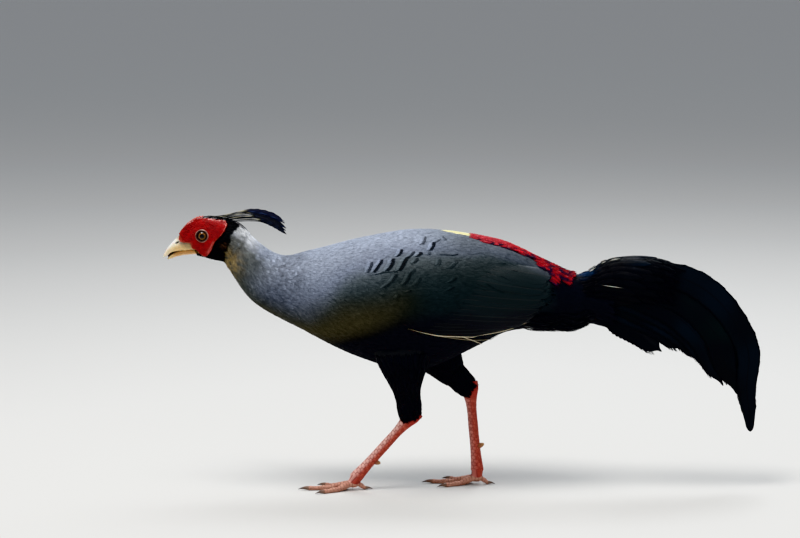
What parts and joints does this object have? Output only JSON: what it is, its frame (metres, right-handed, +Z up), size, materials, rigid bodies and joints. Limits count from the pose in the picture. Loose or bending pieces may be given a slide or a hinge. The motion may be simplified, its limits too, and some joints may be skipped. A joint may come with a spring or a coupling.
{
  "type": "siamese fireback",
  "caption": "Life-size still model of a male crested pheasant in mid stride, standing on both feet, with a drooping arched tail.",
  "frame": {"origin": "on the floor under the middle of the model's bounding box", "axes": "the bird walks towards -X, its left side faces -Y, +Z is up"},
  "size_m": [0.6255, 0.125, 0.2969],
  "materials": {
    "body_plumage": "fine bluish grey feathers with darker wavy lines",
    "wing_plumage": "grey feathers, the larger ones with black bars edged in white",
    "head_plumage": "short black feathers",
    "crest_plumes": "blue-black plumes on bare shafts",
    "rump_plumage": "glossy crimson feathers edged in dark blue, golden at the front",
    "dark_plumage": "soft blue-black feathers",
    "tail_plumage": "glossy black feathers with a blue and green sheen",
    "facial_skin": "bright red warty skin",
    "bill": "pale horn, satin",
    "eye": "wet brown iris and black pupil",
    "leg_skin": "red scaled skin",
    "claw_horn": "brownish horn, satin"
  },
  "bodies": {
    "root": {"torso": "body_plumage", "neck": "body_plumage", "head": "head_plumage", "bill_upper": "bill", "bill_lower": "bill", "crest": "crest_plumes", "rump": "rump_plumage", "vent_coverts": "dark_plumage", "tail_coverts": "tail_plumage", "tail": "tail_plumage", "face_left": "facial_skin", "face_right": "facial_skin", "wing_left": "wing_plumage", "wing_right": "wing_plumage", "eye_left": "eye", "eye_right": "eye", "thigh_left": "dark_plumage", "thigh_right": "dark_plumage", "shank_left": "leg_skin", "shank_right": "leg_skin", "spur_left": "claw_horn", "spur_right": "claw_horn", "foot_left": "leg_skin", "foot_right": "leg_skin", "claw_left_1": "claw_horn", "claw_left_2": "claw_horn", "claw_left_3": "claw_horn", "claw_left_4": "claw_horn", "claw_right_1": "claw_horn", "claw_right_2": "claw_horn", "claw_right_3": "claw_horn", "claw_right_4": "claw_horn"}
  },
  "joints": []
}
